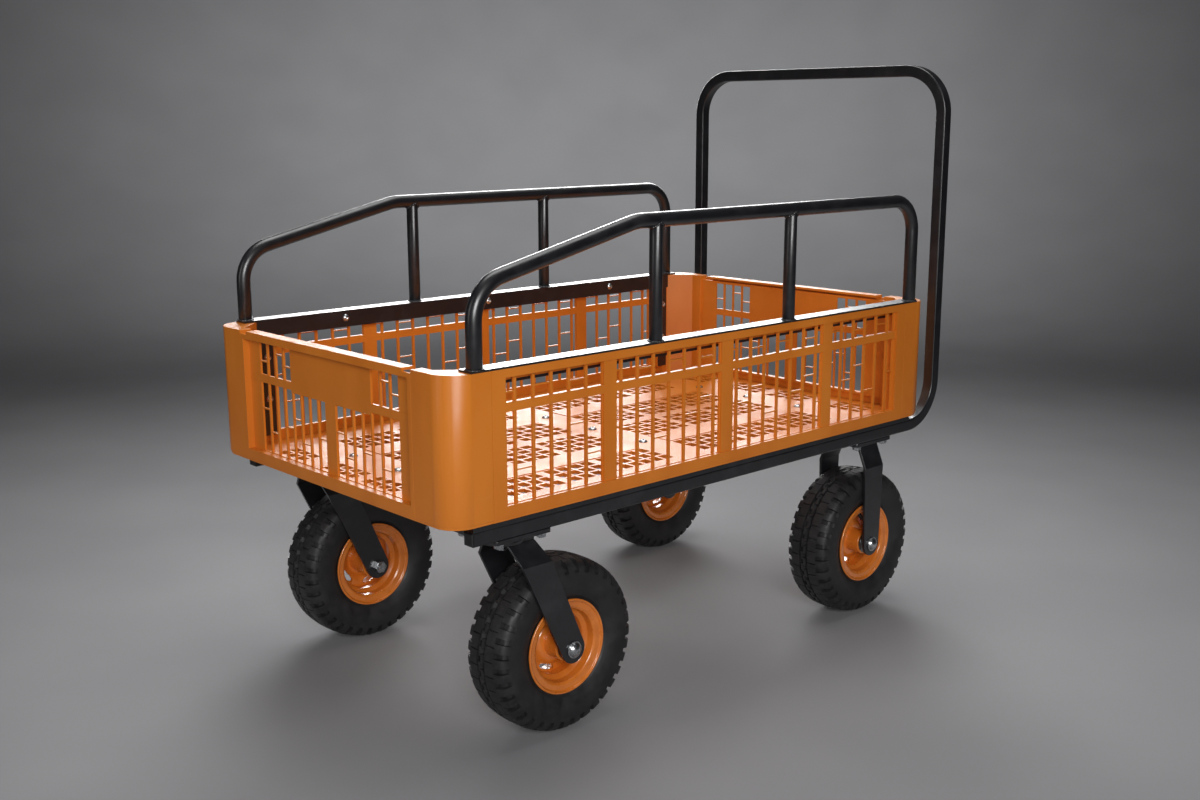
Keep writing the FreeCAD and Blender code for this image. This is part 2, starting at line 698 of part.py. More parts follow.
def valve():
    """Rubber valve stem through the rim, with its cap."""
    neck = rod(0, -4.0, 0, 3.95, 6.0, "y")
    stem = Part.makeCone(3.95, 3.3, 12.0, V(0, 2.0, 0), V(0, 1, 0))
    cap = rod(0, 14.0, 0, 2.7, 8.0, "y")
    return valve_turned(fused([neck, stem, cap]))


def outward(shape, side):
    return shape if side > 0 else mirrored(shape, "y")


def at_height(shape):
    raised = shape.copy()
    raised.translate(V(0, 0, wheel_r))
    return raised


def save_crate():
    save("crate_floor", crate_floor())
    left, front, post = side_wall(), end_wall(), corner_post()
    save("crate_wall_left", left)
    save("crate_wall_right", mirrored(left, "y"))
    save("crate_wall_front", front)
    save("crate_wall_rear", mirrored(front, "x"))
    save("crate_corner_front_left", post)
    save("crate_corner_front_right", mirrored(post, "y"))
    save("crate_corner_rear_left", mirrored(post, "x"))
    save("crate_corner_rear_right", mirrored(mirrored(post, "x"), "y"))
    save("floor_bolts", floor_bolts())
    save("floor_nuts", floor_nuts())


def save_frame():
    save("frame_tube", frame_tube())
    save("rail_plugs", rail_plugs())
    save("cross_tubes", cross_tubes())
    save("deck_straps", deck_straps())
    save("rail_skirts", rail_skirts())
    for maker in (guard_rail, guard_posts, guard_angle, hang_straps):
        shape = maker()
        save(maker.__name__ + "_left", shape)
        save(maker.__name__ + "_right", mirrored(shape, "y"))
    save("guard_bolts", guard_bolts())
    save("guard_nuts", guard_nuts())
    save("caster_bolts", caster_bolts())
    save("caster_nuts", caster_nuts())


def save_casters():
    rubber, centre, races = at_height(tyre()), at_height(rim()), at_height(bearings())
    bolt, stem = at_height(axle()), at_height(valve())
    for side, word in ((1, "left"), (-1, "right")):
        y = side * wheel_y
        save("caster_plate_front_" + word, swivel_plate(), crate_x + swivel_x, y)
        save("swivel_balls_" + word, balls(), crate_x + swivel_x, y)
        save("kingpin_" + word, kingpin(), crate_x + swivel_x, y)
        save("fork_front_" + word, swivel_fork(), crate_x + swivel_x, y)
        save("caster_plate_rear_" + word, top_plate(), crate_x + rigid_x + 1.0, y)
        save("fork_rear_" + word, rigid_fork(), crate_x + rigid_x, y)
        for x, end in ((swivel_x - trail, "front"), (rigid_x, "rear")):
            tag = "_" + end + "_" + word
            save("tyre" + tag, rubber, crate_x + x, y)
            save("rim" + tag, outward(centre, side), crate_x + x, y)
            save("bearings" + tag, races, crate_x + x, y)
            save("axle" + tag, outward(bolt, side), crate_x + x, y)
            save("valve" + tag, outward(stem, side), crate_x + x, y)


save_crate()
save_frame()
save_casters()
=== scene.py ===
import json
import math

import bmesh
import bpy
from mathutils import Matrix, Vector


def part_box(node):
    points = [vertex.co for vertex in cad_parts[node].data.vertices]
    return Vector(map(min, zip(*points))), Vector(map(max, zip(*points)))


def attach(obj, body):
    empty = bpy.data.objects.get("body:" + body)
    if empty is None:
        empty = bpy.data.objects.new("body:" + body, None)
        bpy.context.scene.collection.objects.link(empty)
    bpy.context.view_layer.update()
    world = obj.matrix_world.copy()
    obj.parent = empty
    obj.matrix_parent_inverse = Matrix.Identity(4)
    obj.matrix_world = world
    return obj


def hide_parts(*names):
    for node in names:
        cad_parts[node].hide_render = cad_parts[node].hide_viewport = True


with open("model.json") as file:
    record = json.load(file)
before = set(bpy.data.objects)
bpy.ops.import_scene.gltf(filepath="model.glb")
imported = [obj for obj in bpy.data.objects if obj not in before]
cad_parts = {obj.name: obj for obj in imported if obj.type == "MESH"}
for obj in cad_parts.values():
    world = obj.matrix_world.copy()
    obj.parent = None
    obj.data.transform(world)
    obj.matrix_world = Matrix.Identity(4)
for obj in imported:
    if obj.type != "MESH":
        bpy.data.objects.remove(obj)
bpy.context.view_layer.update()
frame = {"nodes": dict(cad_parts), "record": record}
nodes = frame["nodes"]
mm = 0.001


def midOf(name):
    low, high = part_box(name)
    return (low + high) / 2


# colours and nodes

def toLinear(hexCode):
    parts = [int(hexCode[k:k + 2], 16) / 255 for k in (1, 3, 5)]
    return [c / 12.92 if c <= 0.04045 else ((c + 0.055) / 1.055) ** 2.4 for c in parts] + [1.0]


def addNode(tree, kind, links=None, out=0, **settings):
    node = tree.nodes.new(kind)
    for key, value in settings.items():
        setattr(node, key, value)
    for key, value in (links or {}).items():
        if isinstance(value, bpy.types.NodeSocket):
            tree.links.new(value, node.inputs[key])
        else:
            node.inputs[key].default_value = value
    return node.outputs[out]


def wheelRadius(tree, at):
    # distance from the axle, for finishes that go round a wheel
    x, z = (addNode(tree, "ShaderNodeSeparateXYZ", {"Vector": at}, axis) for axis in ("X", "Z"))
    across = addNode(tree, "ShaderNodeCombineXYZ", {"X": x, "Z": z})
    return addNode(tree, "ShaderNodeVectorMath", {0: across}, "Value", operation="LENGTH")


def patternOf(tree, at, layer):
    # one layer's pattern: cloudy unless it says pips or rings, then spread over its range
    if "stretch" in layer:
        at = addNode(tree, "ShaderNodeMapping", {"Vector": at, "Scale": layer["stretch"]})
    kind = layer.get("kind", "cloud")
    if kind == "pips":
        value = addNode(tree, "ShaderNodeTexVoronoi", {"Vector": at, "Scale": 1 / (layer["sizeMm"] * mm)})
    elif kind == "rings":
        perMetre = 2 * math.pi / (layer["sizeMm"] * mm)
        value = addNode(tree, "ShaderNodeMath", {0: wheelRadius(tree, at), 1: perMetre}, operation="MULTIPLY")
        value = addNode(tree, "ShaderNodeMath", {0: value}, operation="SINE")
    else:
        value = addNode(tree, "ShaderNodeTexNoise", {
            "Vector": at, "Scale": 1 / (layer["sizeMm"] * mm), "Detail": layer.get("detail", 3.0),
            "Roughness": layer.get("fineness", 0.5)})
    if "range" in layer:
        least, most = layer.get("between", (0.0, 1.0))
        value = addNode(tree, "ShaderNodeMapRange", {
            "Value": value, "From Min": layer["range"][0], "From Max": layer["range"][1],
            "To Min": least, "To Max": most})
    if "fromRadius" in layer:
        inner, outer = layer["fromRadius"]
        outward = addNode(tree, "ShaderNodeMapRange", {
            "Value": wheelRadius(tree, at), "From Min": inner, "From Max": outer})
        value = addNode(tree, "ShaderNodeMath", {0: outward, 1: value}, operation="MULTIPLY")
    return value


def makeFinish(name, look):
    # base colour, then its tints, uneven gloss and relief, in the order the look lists them
    material = bpy.data.materials.new(name)
    material.use_nodes = True
    tree = material.node_tree
    shader = tree.nodes["Principled BSDF"]
    for key, value in look["shader"].items():
        shader.inputs[key].default_value = value
    at = addNode(tree, "ShaderNodeTexCoord", out="Object")
    colour = toLinear(look["colour"])
    for tint in look["tints"]:
        factor = patternOf(tree, at, tint)
        colour = addNode(tree, "ShaderNodeMix", {"Factor": factor, 6: colour, 7: toLinear(tint["colour"])}, 2,
                         data_type="RGBA")
    tree.links.new(colour, shader.inputs["Base Color"])
    if "gloss" in look:
        tree.links.new(patternOf(tree, at, look["gloss"]), shader.inputs["Roughness"])
    normal = None
    for layer in look.get("relief", []):
        links = {"Height": patternOf(tree, at, layer), "Strength": layer["strength"],
                 "Distance": layer["depthMm"] * mm}
        if normal is not None:
            links["Normal"] = normal
        normal = addNode(tree, "ShaderNodeBump", links)
    if normal is not None:
        tree.links.new(normal, shader.inputs["Normal"])
    return material


# In every look, sizeMm is the size of the pattern on the real thing, unless a note says it is drawn coarser.
# range is the part of the pattern that is used, and between is what that part becomes.

# injection-moulded HDPE from a spark-eroded mould: satin, faintly pebbled, its pigment a little streaky,
# with pale scuffs where things rub (the real pebbling is under 0.5 mm, drawn coarser so that it shows)
hdpeLook = {
    "shader": {"IOR": 1.51}, "colour": "#DD8129",
    "tints": [
        {"colour": "#D07420", "sizeMm": 90, "detail": 4.0, "stretch": (1, 1, 0.35), "range": (0.35, 0.7)},
        {"colour": "#E8B283", "sizeMm": 7, "detail": 6.0, "stretch": (0.12, 1, 1), "fineness": 0.7,
         "range": (0.66, 0.76), "between": (0.0, 0.35)}],
    "gloss": {"sizeMm": 35, "range": (0.3, 0.75), "between": (0.33, 0.46)},
    "relief": [
        {"sizeMm": 60, "detail": 1.0, "strength": 0.25, "depthMm": 1.2},
        {"sizeMm": 1.6, "detail": 2.0, "strength": 0.10, "depthMm": 0.15},
        {"sizeMm": 7, "detail": 6.0, "stretch": (0.12, 1, 1), "fineness": 0.7, "strength": 0.05, "depthMm": 0.1}]}

# the same HDPE with the grip pips of the deck moulded in (about 2 mm apart, drawn coarser so that they show)
stippledLook = dict(hdpeLook, relief=hdpeLook["relief"] + [
    {"kind": "pips", "sizeMm": 3.2, "range": (0.15, 0.4), "between": (1.0, 0.0), "strength": 0.5, "depthMm": 0.5}])

# baked enamel on pressed steel: wet-looking gloss over a slightly wavy film, deeper where it pooled
enamelLook = {
    "shader": {"IOR": 1.5, "Coat Weight": 0.9, "Coat Roughness": 0.06}, "colour": "#E08030",
    "tints": [{"colour": "#CE6E1E", "sizeMm": 30, "range": (0.3, 0.7)}],
    "gloss": {"sizeMm": 9, "range": (0.3, 0.7), "between": (0.24, 0.4)},
    "relief": [{"sizeMm": 4, "detail": 2.0, "strength": 0.12, "depthMm": 0.15}]}

# polyester powder coat on steel tube: smooth gloss black with orange peel, a few dust nibs, a film of dust
powderLook = {
    "shader": {"IOR": 1.56, "Coat Weight": 0.5, "Coat Roughness": 0.25}, "colour": "#17171A",
    "tints": [{"colour": "#3E3E41", "sizeMm": 45, "detail": 5.0, "fineness": 0.65, "range": (0.5, 0.85),
               "between": (0.0, 0.5)}],
    "gloss": {"sizeMm": 22, "detail": 4.0, "range": (0.3, 0.75), "between": (0.28, 0.45)},
    "relief": [
        {"sizeMm": 3.0, "detail": 2.0, "strength": 0.07, "depthMm": 0.12},
        {"sizeMm": 1.1, "detail": 1.0, "range": (0.74, 0.8), "strength": 0.15, "depthMm": 0.08}]}

# bright zinc plate over cold-headed steel: pale metal, faintly cloudy, fine turning marks
zincLook = {
    "shader": {"Metallic": 1.0}, "colour": "#D5D8DA",
    "tints": [{"colour": "#AEB2B4", "sizeMm": 2.5, "detail": 4.0, "range": (0.35, 0.7)}],
    "gloss": {"sizeMm": 1.2, "range": (0.3, 0.7), "between": (0.18, 0.36)},
    "relief": [{"sizeMm": 0.6, "detail": 2.0, "stretch": (1, 0.15, 1), "strength": 0.15, "depthMm": 0.05}]}

# ground bearing steel: greyer and a little duller than the plating
groundLook = {
    "shader": {"Metallic": 1.0}, "colour": "#B9BDC0",
    "tints": [{"colour": "#9FA3A6", "sizeMm": 4, "detail": 4.0, "range": (0.35, 0.7)}],
    "gloss": {"sizeMm": 1.2, "range": (0.3, 0.7), "between": (0.24, 0.42)},
    "relief": zincLook["relief"]}

# carbon-black rubber cured in a steel mould: dull, slightly bloomed, fine moulded rings
# (the real rings are about 0.5 mm apart, drawn coarser so that they show)
stemLook = {
    "shader": {"IOR": 1.52}, "colour": "#19191B",
    "tints": [{"colour": "#2B2A2B", "sizeMm": 28, "detail": 5.0, "fineness": 0.6, "range": (0.38, 0.75)}],
    "gloss": {"sizeMm": 14, "detail": 4.0, "range": (0.3, 0.75), "between": (0.45, 0.67)},
    "relief": [
        {"kind": "rings", "sizeMm": 1.3, "strength": 0.06, "depthMm": 0.1},
        {"sizeMm": 0.9, "detail": 2.0, "strength": 0.18, "depthMm": 0.15}]}

# the same rubber on the tyres, with floor dust held in the tread; fromRadius is in metres
treadLook = dict(stemLook, tints=stemLook["tints"] + [
    {"colour": "#46423E", "sizeMm": 6, "detail": 6.0, "fineness": 0.7, "range": (0.5, 0.8),
     "between": (0.0, 0.45), "fromRadius": (0.112, 0.126)}])

# injection-moulded polyethylene plug: soft black, dull, finely grained
plugLook = {
    "shader": {"IOR": 1.51, "Roughness": 0.5}, "colour": "#101012",
    "tints": [{"colour": "#232325", "sizeMm": 8, "detail": 4.0, "range": (0.4, 0.8)}],
    "relief": [{"sizeMm": 1.2, "detail": 2.0, "strength": 0.15, "depthMm": 0.1}]}

# matt paper sweep: pale, even, with the faintest mottle
paperLook = {
    "shader": {"Roughness": 0.95, "Specular IOR Level": 0.1}, "colour": "#9A9A9C",
    "tints": [{"colour": "#959597", "sizeMm": 400, "detail": 2.0, "range": (0.35, 0.65)}]}

hdpe = makeFinish("hdpeInjectionMoulded", hdpeLook)
stippledHdpe = makeFinish("hdpeStippledFloor", stippledLook)
plug = makeFinish("polyethylenePlug", plugLook)
enamel = makeFinish("enamelPressedSteel", enamelLook)
powder = makeFinish("powderCoatedSteel", powderLook)
zinc = makeFinish("zincPlatedSteel", zincLook)
groundSteel = makeFinish("groundBearingSteel", groundLook)
treadRubber = makeFinish("curedRubber", treadLook)
stemRubber = makeFinish("mouldedStemRubber", stemLook)
paper = makeFinish("matteStudioPaper", paperLook)
print("materials made")


# meshes

def link(thing):
    bpy.context.scene.collection.objects.link(thing)


def addPiece(name, mesh, material, body, replaced, at=None):
    piece = bpy.data.objects.new(name, mesh)
    link(piece)
    if at is not None:
        piece.location = at
    if not mesh.materials:
        mesh.materials.append(material)
    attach(piece, body)
    if replaced:
        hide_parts(*replaced)
    return piece


def finishMesh(build, name, sharpDegrees=35):
    bmesh.ops.remove_doubles(build, verts=build.verts, dist=1e-6)
    bmesh.ops.recalc_face_normals(build, faces=build.faces)
    mesh = bpy.data.meshes.new(name)
    build.to_mesh(mesh)
    build.free()
    mesh.shade_smooth()
    mesh.set_sharp_from_angle(angle=math.radians(sharpDegrees))
    return mesh


def gridFaces(build, rings, closeRings=True):
    # faces between neighbouring rings of points, and from the last ring to the first when closed
    count = len(rings[0])
    following = rings[1:] + rings[:1] if closeRings else rings[1:]
    for first, second in zip(rings, following):
        for k in range(count):
            n = (k + 1) % count
            build.faces.new((first[k], first[n], second[n], second[k]))


def rounded(points, radius, steps=3):
    # rounds every corner of a closed outline of (a, b) points, by at most 0.45 of its shorter side
    out = []
    count = len(points)
    for k in range(count):
        p, q, r = (Vector(points[(k + d) % count]) for d in (-1, 0, 1))
        before, after = p - q, r - q
        reach = min(radius, before.length * 0.45, after.length * 0.45)
        a, b = q + before.normalized() * reach, q + after.normalized() * reach
        for s in range(steps + 1):
            t = s / steps
            out.append(tuple(a * (1 - t) ** 2 + q * 2 * t * (1 - t) + b * t * t))
    return out


def lathe(name, outline, segments, cornerRadius=0.0):
    # turns a closed outline of (along Y, radius) points in mm about the Y axis
    build = bmesh.new()
    outline = rounded(outline, cornerRadius) if cornerRadius else outline
    rings = []
    for along, radius in outline:
        turns = (2 * math.pi * k / segments for k in range(segments))
        rings.append([build.verts.new((radius * mm * math.cos(a), along * mm, radius * mm * math.sin(a)))
                      for a in turns])
    gridFaces(build, rings)
    return finishMesh(build, name)


# tyres, mm, about the wheel's centre: (distance from the middle plane, radius) from tread to bead
tyreLook = {
    "half": [(0, 130), (8, 129.9), (16, 129.4), (24, 128.5), (31, 126.6), (37, 123.2), (40.6, 118), (42.4, 111),
             (43, 103), (42.6, 95), (41, 88), (38.6, 81.5), (36.4, 77), (35.6, 75.6), (33.8, 73.4), (32.4, 70.4),
             (30.9, 66), (30.5, 60.2), (27, 58.9), (23.3, 59.3)],
    "inside": [(25.2, 66), (31, 76), (36, 90), (36.6, 100), (33.6, 110), (23.6, 117), (0, 118.8)],
    "lineSteps": 3, "treadRadius": 105, "crownHalf": 37, "sharpDegrees": 32,
    "lugs": 36, "grooveFrom": 5.2, "grooveTo": 8.4, "grooveDepth": 6.5, "centreDepth": 5.5,
    "sipeDepth": 3.0, "shoulderFrom": 25.5, "lugDepth": 7.0, "lugFootRadius": 111.0, "lugFadeOver": 7.0,
    # where each cut starts and stops, as shares of one lug's pitch
    "centreCut": (0.62, 0.98), "shoulderCut": (0.60, 0.98), "sipeCut": (0.27, 0.335),
    # how near a groove's edge a point may lie, and half the width of the groove's wall
    "edgeClear": 0.45, "edgeRadius": 110, "wallHalf": 0.3,
    # how cuts on the rounded shoulder lean inward
    "leanFrom": 30.0, "leanOver": 12.0, "leanLess": 0.35, "leanIn": 0.55,
    "columns": [0.0, 0.06, 0.092, 0.108, 0.128, 0.13, 0.2, 0.262, 0.278, 0.328, 0.344, 0.42, 0.472, 0.488, 0.5,
                0.592, 0.608, 0.628, 0.7, 0.762, 0.778, 0.828, 0.844, 0.9, 0.972, 0.988]}


def treadDepth(y, radius, phase):
    # how deep the tread is cut at this place; the two sides' lugs alternate
    look = tyreLook
    side = abs(y)
    if y < 0:
        phase = (phase + 0.5) % 1.0
    if radius < look["lugFootRadius"]:
        return 0.0
    if look["grooveFrom"] <= side < look["grooveTo"]:
        return look["grooveDepth"]
    fade = 1.0
    if side < look["grooveFrom"]:
        depth, cut = look["centreDepth"], look["centreCut"]
    elif side > look["shoulderFrom"]:
        depth, cut = look["lugDepth"], look["shoulderCut"]
        fade = min(1.0, (radius - look["lugFootRadius"]) / look["lugFadeOver"])
    else:
        depth, cut = look["sipeDepth"], look["sipeCut"]
    return depth * fade if cut[0] <= phase < cut[1] else 0.0


def splined(points, steps):
    # a smooth Catmull-Rom line through the points
    out = []
    ends = [points[0]] + points + [points[-1]]
    for k in range(len(points) - 1):
        a, b, c, d = (Vector(p) for p in ends[k:k + 4])
        for s in range(steps):
            t = s / steps
            out.append(0.5 * (2 * b + (c - a) * t + (2 * a - 5 * b + 4 * c - d) * t * t
                              + (3 * b - a - 3 * c + d) * t ** 3))
    return out + [Vector(points[-1])]


def tyreOutline():
    # closed outline of (y, radius, is it outside), with extra rows at the groove edges
    look = tyreLook
    half = [(p.x, p.y) for p in splined(look["half"], look["lineSteps"])]
    edges = [look["grooveFrom"], look["grooveTo"], look["shoulderFrom"]]
    rows = [p for p in half
            if p[1] < look["edgeRadius"] or all(abs(p[0] - edge) > look["edgeClear"] for edge in edges)]
    for edge in edges:
        for y in (edge - look["wallHalf"], edge + look["wallHalf"]):
            k = next(i for i in range(len(half) - 1) if half[i + 1][0] >= y)
            (y0, r0), (y1, r1) = half[k], half[k + 1]
            rows.append((y, r0 + (r1 - r0) * (y - y0) / (y1 - y0)))
    tread = sorted((p for p in rows if p[1] > look["treadRadius"]), key=lambda p: (p[0], -p[1]))
    crown = [p for p in tread if p[0] < look["crownHalf"]]
    rows = crown + [p for p in rows if p not in crown]
    outline = [(y, r, True) for y, r in rows] + [(y, r, False) for y, r in look["inside"]]
    return outline + [(-y, r, out) for y, r, out in outline[-2:0:-1]]


def tyreMesh():
    look = tyreLook
    outline = tyreOutline()
    build = bmesh.new()
    columns = []
    for lug in range(look["lugs"]):
        for phase in look["columns"]:
            angle = 2 * math.pi * (lug + phase) / look["lugs"]
            column = []
            for y, r, out in outline:
                depth = treadDepth(y, r, phase) if out else 0.0
                lean = max(0.0, min(1.0, (abs(y) - look["leanFrom"]) / look["leanOver"]))
                r -= depth * (1 - look["leanLess"] * lean)
                y -= math.copysign(depth * look["leanIn"] * lean, y)
                column.append(build.verts.new((r * mm * math.cos(angle), y * mm, r * mm * math.sin(angle))))
            columns.append(column)
    gridFaces(build, columns)
    return finishMesh(build, "tyreMesh", look["sharpDegrees"])


# pressed rim, mm: rolled lips, bead seats, drop well, then a dished web with kidney windows and a hub tube
rimLook = {
    "barrel": [(0.0, 50.0), (14.0, 50.0), (19.0, 56.5), (29.5, 58.2), (30.9, 60.5), (31.2, 66.5), (33.0, 69.7),
               (35.4, 71.2), (37.2, 70.8), (37.8, 69.2), (37.0, 67.6), (35.4, 67.3), (34.2, 65.4), (33.6, 58.6),
               (31.4, 55.2), (20.6, 53.8), (15.4, 47.4), (0.0, 47.4)],
    "web": [(-1.6, 47.6), (1.8, 47.6), (2.2, 40.0), (4.4, 34.5), (8.6, 29.5), (9.6, 25.0), (9.6, 19.0),
            (6.4, 19.0), (6.4, 24.4), (5.4, 27.6), (1.4, 32.6), (-1.4, 38.5)],
    "hub": [(-36.0, 17.5), (-36.0, 20.2), (-35.2, 21.0), (35.2, 21.0), (36.0, 20.2), (36.0, 17.5), (24.6, 17.5),
            (24.6, 14.0), (-24.6, 14.0), (-24.6, 17.5)],
    "barrelSegments": 128, "webSegments": 120, "hubSegments": 64, "barrelCorner": 1.2, "webCorner": 1.0,
    "windows": 5, "windowRadius": 39.6, "windowWide": 17.0, "windowTall": 4.6, "windowPoints": 28,
    "windowSquareness": 0.7, "windowNarrowing": 0.78, "windowCut": 20, "windowEdge": 0.6, "edgeDegrees": 50}


def windowRing(build, turn, along):
    # one kidney-shaped ring of points at this turn of the wheel
    look = rimLook
    ring = []
    for s in range(look["windowPoints"]):
        a = 2 * math.pi * s / look["windowPoints"]
        wide = math.copysign(abs(math.cos(a)) ** look["windowSquareness"], math.cos(a))
        around = turn + wide * look["windowWide"] / look["windowRadius"] * look["windowNarrowing"]
        radius = (look["windowRadius"] + look["windowTall"] * math.sin(a)) * mm
        ring.append(build.verts.new((radius * math.cos(around), along * mm, radius * math.sin(around))))
    return ring


def webMesh():
    look = rimLook
    solid = lathe("webSolid", look["web"], look["webSegments"], look["webCorner"])
    holder = bpy.data.objects.new("webSolid", solid)
    build = bmesh.new()
    for k in range(look["windows"]):
        turn = 2 * math.pi * k / look["windows"]
        rings = [windowRing(build, turn, along) for along in (-look["windowCut"], look["windowCut"])]
        gridFaces(build, rings, False)
        build.faces.new(rings[0])
        build.faces.new(rings[1][::-1])
    cutter = bpy.data.objects.new("webCutter", finishMesh(build, "webCutter"))
    link(holder)
    link(cutter)
    cut = holder.modifiers.new("windows", "BOOLEAN")
    cut.operation, cut.object, cut.solver = "DIFFERENCE", cutter, "EXACT"
    edge = holder.modifiers.new("edges", "BEVEL")
    edge.width, edge.segments, edge.limit_method = look["windowEdge"] * mm, 2, "ANGLE"
    edge.angle_limit = math.radians(look["edgeDegrees"])
    bpy.context.view_layer.update()
    shown = holder.evaluated_get(bpy.context.evaluated_depsgraph_get())
    mesh = bpy.data.meshes.new_from_object(shown)
    mesh.name = "webMesh"
    for thing in (holder, cutter):
        bpy.data.objects.remove(thing)
    return mesh


def makeWheels():
    look = rimLook
    tyre = tyreMesh()
    barrelOutline = look["barrel"] + [(-y, r) for y, r in look["barrel"][-2:0:-1]]
    hub = lathe("hubMesh", look["hub"], look["hubSegments"])
    barrel = lathe("rimBarrel", barrelOutline, look["barrelSegments"], look["barrelCorner"])
    web = webMesh()
    for end in ("front", "rear"):
        for side in ("left", "right"):
            tag = "_" + end + "_" + side
            title = end.capitalize() + side.capitalize()
            body = "wheel" + tag
            at = midOf("tyre" + tag)
            addPiece("tyre" + title, tyre, treadRubber, body, ["tyre" + tag], at)
            addPiece("rimBarrel" + title, barrel, enamel, body, ["rim" + tag], at)
            webPiece = addPiece("rimWeb" + title, web, enamel, body, [], at)
            if side == "right":  # the dish faces outward on both sides
                webPiece.matrix_world = Matrix.Translation(at) @ Matrix.Rotation(math.pi, 4, "Z")
            addPiece("rimHub" + title, hub, enamel, body, [], at)


makeWheels()
print("wheels made")


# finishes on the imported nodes, with their sharp edges taken off by this many mm
edgeLook = {"steel": 0.8, "plastic": 0.55, "endWall": 0.3, "plug": 0.3, "bolt": 0.25, "bearing": 0.15, "stem": 0.2,
            "weldWithin": 0.01, "flatDegrees": 0.5, "sharpDegrees": 40}
slotFinish = {
    "orange_plastic": (hdpe, edgeLook["plastic"]), "black_powder_coat": (powder, edgeLook["steel"]),
    "black_plastic": (plug, edgeLook["plug"]), "zinc_steel": (zinc, edgeLook["bolt"]),
    "bearing_steel": (groundSteel, edgeLook["bearing"]), "valve_rubber": (stemRubber, edgeLook["stem"])}
nodeFinish = {
    "crate_floor": (stippledHdpe, 0), "crate_wall_front": (hdpe, edgeLook["endWall"]),
    "crate_wall_rear": (hdpe, edgeLook["endWall"])}


def softEdges(node, width, keepTriangles):
    look = edgeLook
    weld = node.modifiers.new("weld", "WELD")
    weld.merge_threshold = look["weldWithin"] * mm
    if not keepTriangles:
        flat = node.modifiers.new("flat", "DECIMATE")
        flat.decimate_type, flat.angle_limit = "DISSOLVE", math.radians(look["flatDegrees"])
    edge = node.modifiers.new("edge", "BEVEL")
    edge.width, edge.segments, edge.limit_method = width * mm, 2, "ANGLE"
    edge.angle_limit = math.radians(look["sharpDegrees"])
    edge.harden_normals = True


def finishNodes():
    for entry in frame["record"]["subparts"]:
        name = entry["node"]
        node = nodes[name]
        if node.hide_render:  # a better piece stands in its place
            continue
        material, width = nodeFinish.get(name) or slotFinish[entry["material_slot"]]
        node.data.materials.clear()
        node.data.materials.append(material)
        if width:
            softEdges(node, width, name.startswith("crate_wall_"))


finishNodes()
print("packed nodes finished")


# weld beads, mm: bead thickness, ripple length along the bead, how far it swells, and its stand-off
beadLook = {"thick": 1.7, "ripple": 3.4, "swell": 0.22, "around": 8, "steps": 96, "sharpDegrees": 80,
            "footOut": 0.6, "topOut": 0.5, "saddleOut": 0.4}


def beadMesh(path):
    # a rippled bead along a closed path of points in metres
    look = beadLook
    build = bmesh.new()
    count, walked, rings = len(path), 0.0, []
    for k, point in enumerate(path):
        forward = (path[(k + 1) % count] - path[k - 1]).normalized()
        side = forward.cross(Vector((0.31, 0.17, 0.93))).normalized()  # a direction no bead runs along
        up = side.cross(forward)
        walked += (point - path[k - 1]).length if k else 0.0
        swell = 1 + look["swell"] * math.sin(2 * math.pi * walked / (look["ripple"] * mm))
        radius = look["thick"] * mm * swell
        rings.append([build.verts.new(point + (side * math.cos(a) + up * math.sin(a)) * radius)
                      for a in (2 * math.pi * j / look["around"] for j in range(look["around"]))])
    gridFaces(build, rings)
    return finishMesh(build, "bead", look["sharpDegrees"])


def ringPath(centre, radius, saddle=0.0):
    # a level ring, or one that follows a tube of the saddle's radius along X
    path = []
    for k in range(beadLook["steps"]):
        a = 2 * math.pi * k / beadLook["steps"]
        across = radius * math.sin(a)
        drop = math.sqrt(max(0.0, saddle ** 2 - across ** 2)) if saddle else 0.0
        path.append(centre + Vector((radius * math.cos(a), across, -drop)))
    return path


def makeBeads():
    look = beadLook
    for side in ("left", "right"):
        railLow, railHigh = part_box("guard_rail_" + side)
        postLow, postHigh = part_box("guard_posts_" + side)
        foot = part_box("guard_angle_" + side)[1].z
        y = (postLow.y + postHigh.y) / 2
        railRadius, postRadius = (railHigh.y - railLow.y) / 2, (postHigh.y - postLow.y) / 2
        railAxis = railHigh.z - railRadius
        for tube, low, high, radius in (("Rail", railLow, railHigh, railRadius),
                                        ("Post", postLow, postHigh, postRadius)):
            for end, x in (("Rear", low.x + radius), ("Front", high.x - radius)):
                paths = {"Foot": ringPath(Vector((x, y, foot)), radius + look["footOut"] * mm)}
                if tube == "Post":
                    paths["Top"] = ringPath(Vector((x, y, railAxis)), radius + look["topOut"] * mm,
                                            railRadius + look["saddleOut"] * mm)
                for place, path in paths.items():
                    name = "bead" + tube + place + end + side.capitalize()
                    addPiece(name, beadMesh(path), powder, "chassis", [])


makeBeads()
print("beads made")


# studio: a round pale floor that coves up into a wall, metres
stageLook = {"sweepRadius": 5.5, "coveRadius": 2.5, "wallTop": 7.0, "coveSteps": 16, "around": 96,
             "sharpDegrees": 60}


def makeStage():
    look = stageLook
    build = bmesh.new()
    profile = [(look["sweepRadius"] - look["coveRadius"], 0.0)]
    for k in range(1, look["coveSteps"] + 1):
        a = math.pi / 2 * k / look["coveSteps"]
        profile.append((look["sweepRadius"] - look["coveRadius"] * (1 - math.sin(a)),
                        look["coveRadius"] * (1 - math.cos(a))))
    profile.append((look["sweepRadius"], look["wallTop"]))
    rings = []
    for radius, height in profile:
        rings.append([build.verts.new((radius * math.cos(a), radius * math.sin(a), height))
                      for a in (2 * math.pi * k / look["around"] for k in range(look["around"]))])
    gridFaces(build, rings, False)
    build.faces.new(rings[0])
    sweep = bpy.data.objects.new("studioSweep", finishMesh(build, "studioSweep", look["sharpDegrees"]))
    link(sweep)
    sweep.data.materials.append(paper)


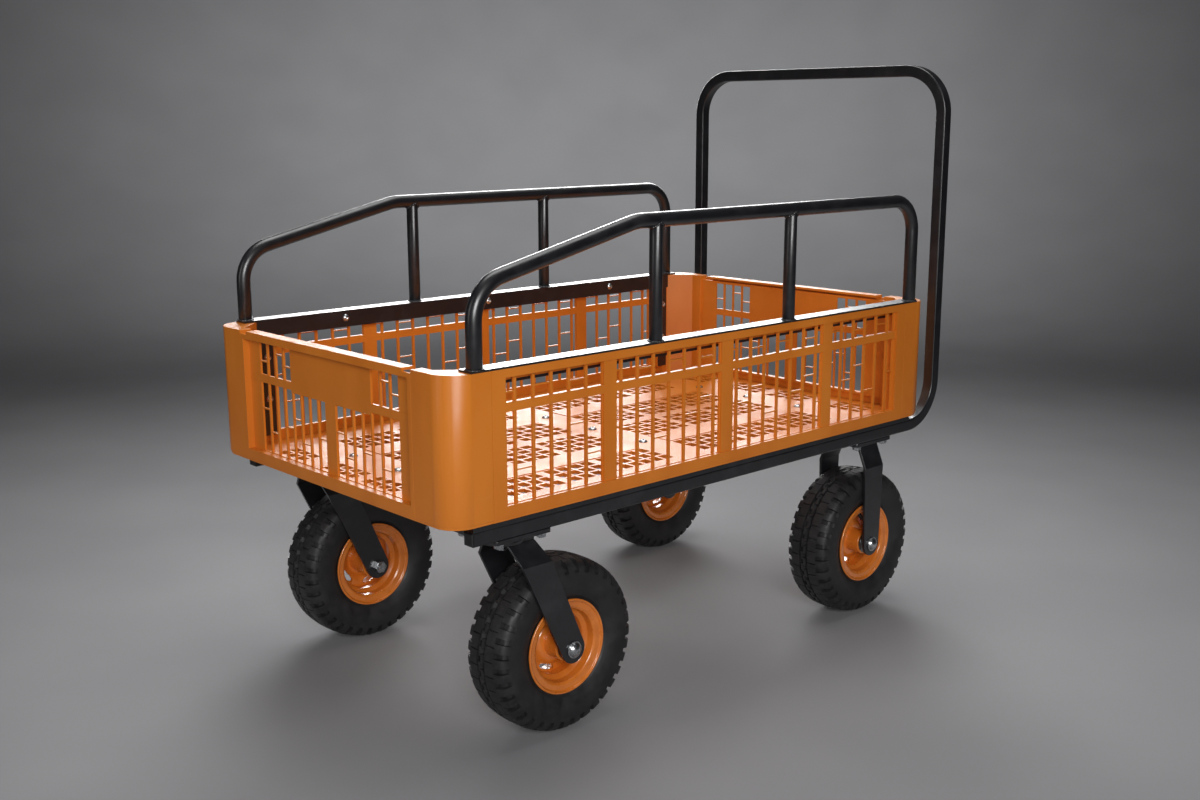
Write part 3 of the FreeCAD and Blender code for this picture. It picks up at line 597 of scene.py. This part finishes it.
# softboxes: place, what each faces, size in metres, watts, spread in degrees
lightLook = {
    "overheadBox": ((-0.3, -0.3, 2.6), (-0.1, -0.1, 0.0), (2.0, 1.8), 9, 75),
    "backBox": ((-2.4, -2.6, 2.2), (0.0, 0.0, 0.5), (2.4, 1.0), 20, 80),
    "rimBox": ((-1.85, -2.65, 1.13), (0.25, 0.0, 0.6), (2.8, 0.35), 3, 50),
    "sweepBox": ((-2.1, -2.3, 2.4), (-3.4, -3.7, 0.3), (3.4, 1.2), 27, 130),
    "frontBox": ((2.2, 3.0, 1.6), (0.0, 0.0, 0.45), (1.6, 1.5), 20, 80),
    "stripBox": ((2.7, -0.5, 1.3), (0.0, 0.0, 0.7), (0.35, 1.8), 1, 70)}
airLook = {"strength": 0.10, "colour": "#F4F6FA"}


def makeLights():
    for name, (at, towards, size, watts, spread) in lightLook.items():
        light = bpy.data.lights.new(name, "AREA")
        light.shape, light.size, light.size_y, light.energy = "RECTANGLE", size[0], size[1], watts
        light.spread = math.radians(spread)
        lamp = bpy.data.objects.new(name, light)
        link(lamp)
        lamp.location = at
        lamp.rotation_euler = (Vector(towards) - Vector(at)).to_track_quat("-Z", "Y").to_euler()
        lamp.visible_camera = False
    world = bpy.data.worlds.new("studioAir")
    bpy.context.scene.world = world
    world.use_nodes = True
    air = world.node_tree.nodes["Background"]
    air.inputs["Color"].default_value = toLinear(airLook["colour"])
    air.inputs["Strength"].default_value = airLook["strength"]


# metres, degrees, and a lens in mm on a sensor that many mm wide
cameraLook = {"at": (1.5459, 1.6638, 0.8805), "azimuth": 137.31, "elevation": 11.942, "roll": -0.168,
              "lens": 40.394, "sensor": 36.0, "nearest": 0.05, "farthest": 50.0}


def makeCamera():
    look = cameraLook
    camera = bpy.data.objects.new("camera", bpy.data.cameras.new("camera"))
    link(camera)
    camera.data.lens, camera.data.sensor_width = look["lens"], look["sensor"]
    camera.data.clip_start, camera.data.clip_end = look["nearest"], look["farthest"]
    a, e = math.radians(look["azimuth"]), math.radians(look["elevation"])
    back = Vector((math.sin(a) * math.cos(e), -math.cos(a) * math.cos(e), math.sin(e)))
    right = Vector((math.cos(a), math.sin(a), 0.0))
    turn = Matrix((right, back.cross(right), back)).transposed().to_4x4()
    turn = turn @ Matrix.Rotation(math.radians(look["roll"]), 4, "Z")
    camera.matrix_world = Matrix.Translation(look["at"]) @ turn
    bpy.context.scene.camera = camera


makeStage()
makeLights()
makeCamera()
bpy.context.scene.view_settings.view_transform = "Standard"
print("studio set")
